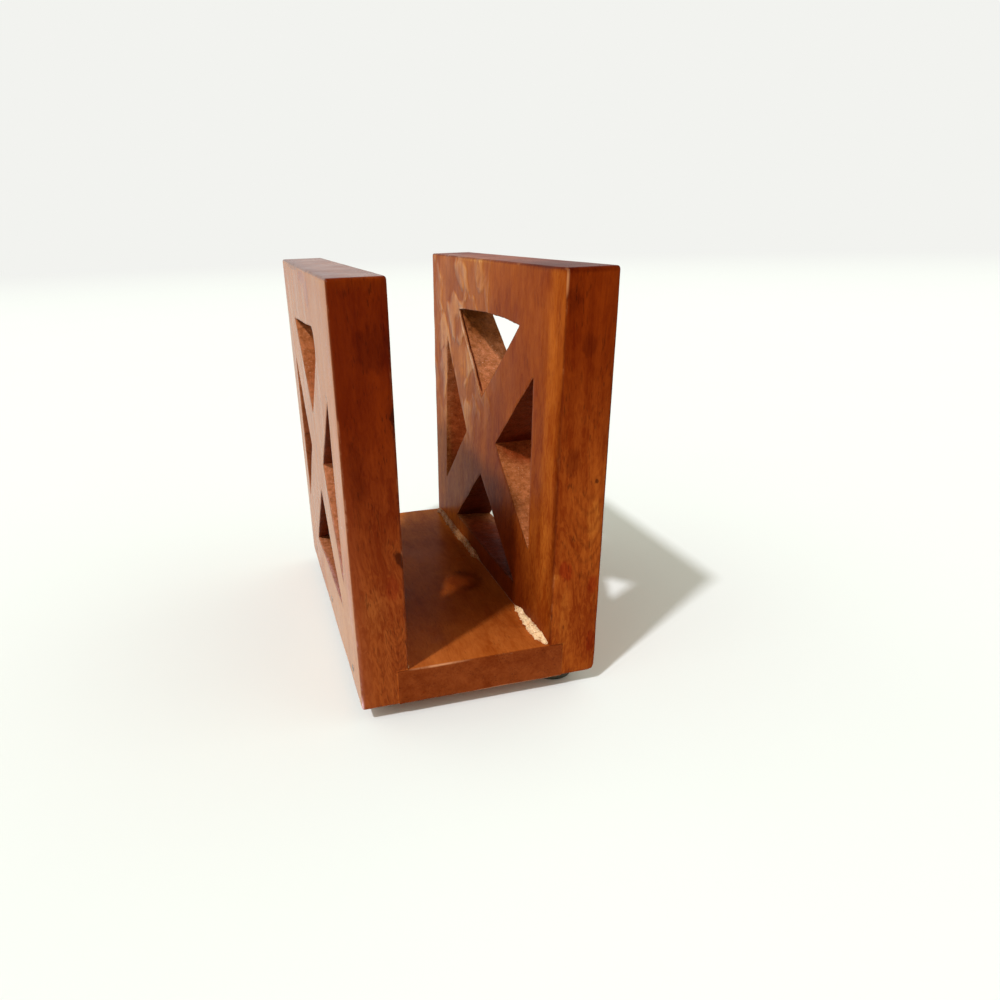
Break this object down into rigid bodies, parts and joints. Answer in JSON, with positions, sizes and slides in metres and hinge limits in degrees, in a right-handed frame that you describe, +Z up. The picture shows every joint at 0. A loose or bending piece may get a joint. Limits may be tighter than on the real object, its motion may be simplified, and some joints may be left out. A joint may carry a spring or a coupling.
{
  "type": "napkin holder",
  "caption": "Upright U-shaped napkin holder of varnished reddish wood, with crossed braces sawn out of both side panels.",
  "frame": {"origin": "under the middle of the holder, on the plane that its four felt pads stand on", "axes": "+Z up, +Y from the front to the back along the napkin slot, +X from the left panel to the right panel"},
  "size_m": [0.089, 0.152, 0.147],
  "materials": {
    "panel_wood": "glossy varnish over reddish hardwood",
    "base_wood": "glossy varnish over reddish hardwood",
    "dried_glue": "hardened glue under varnish, rough",
    "brad_steel": "bare drawn steel",
    "pad_felt": "dense pressed felt"
  },
  "bodies": {
    "root": {"left_side_panel": "panel_wood", "right_side_panel": "panel_wood", "base_board": "base_wood", "left_glue_bead": "dried_glue", "right_glue_bead": "dried_glue", "left_front_brad": "brad_steel", "left_middle_brad": "brad_steel", "left_back_brad": "brad_steel", "right_front_brad": "brad_steel", "right_middle_brad": "brad_steel", "right_back_brad": "brad_steel", "front_left_pad": "pad_felt", "front_right_pad": "pad_felt", "back_left_pad": "pad_felt", "back_right_pad": "pad_felt"}
  },
  "joints": []
}
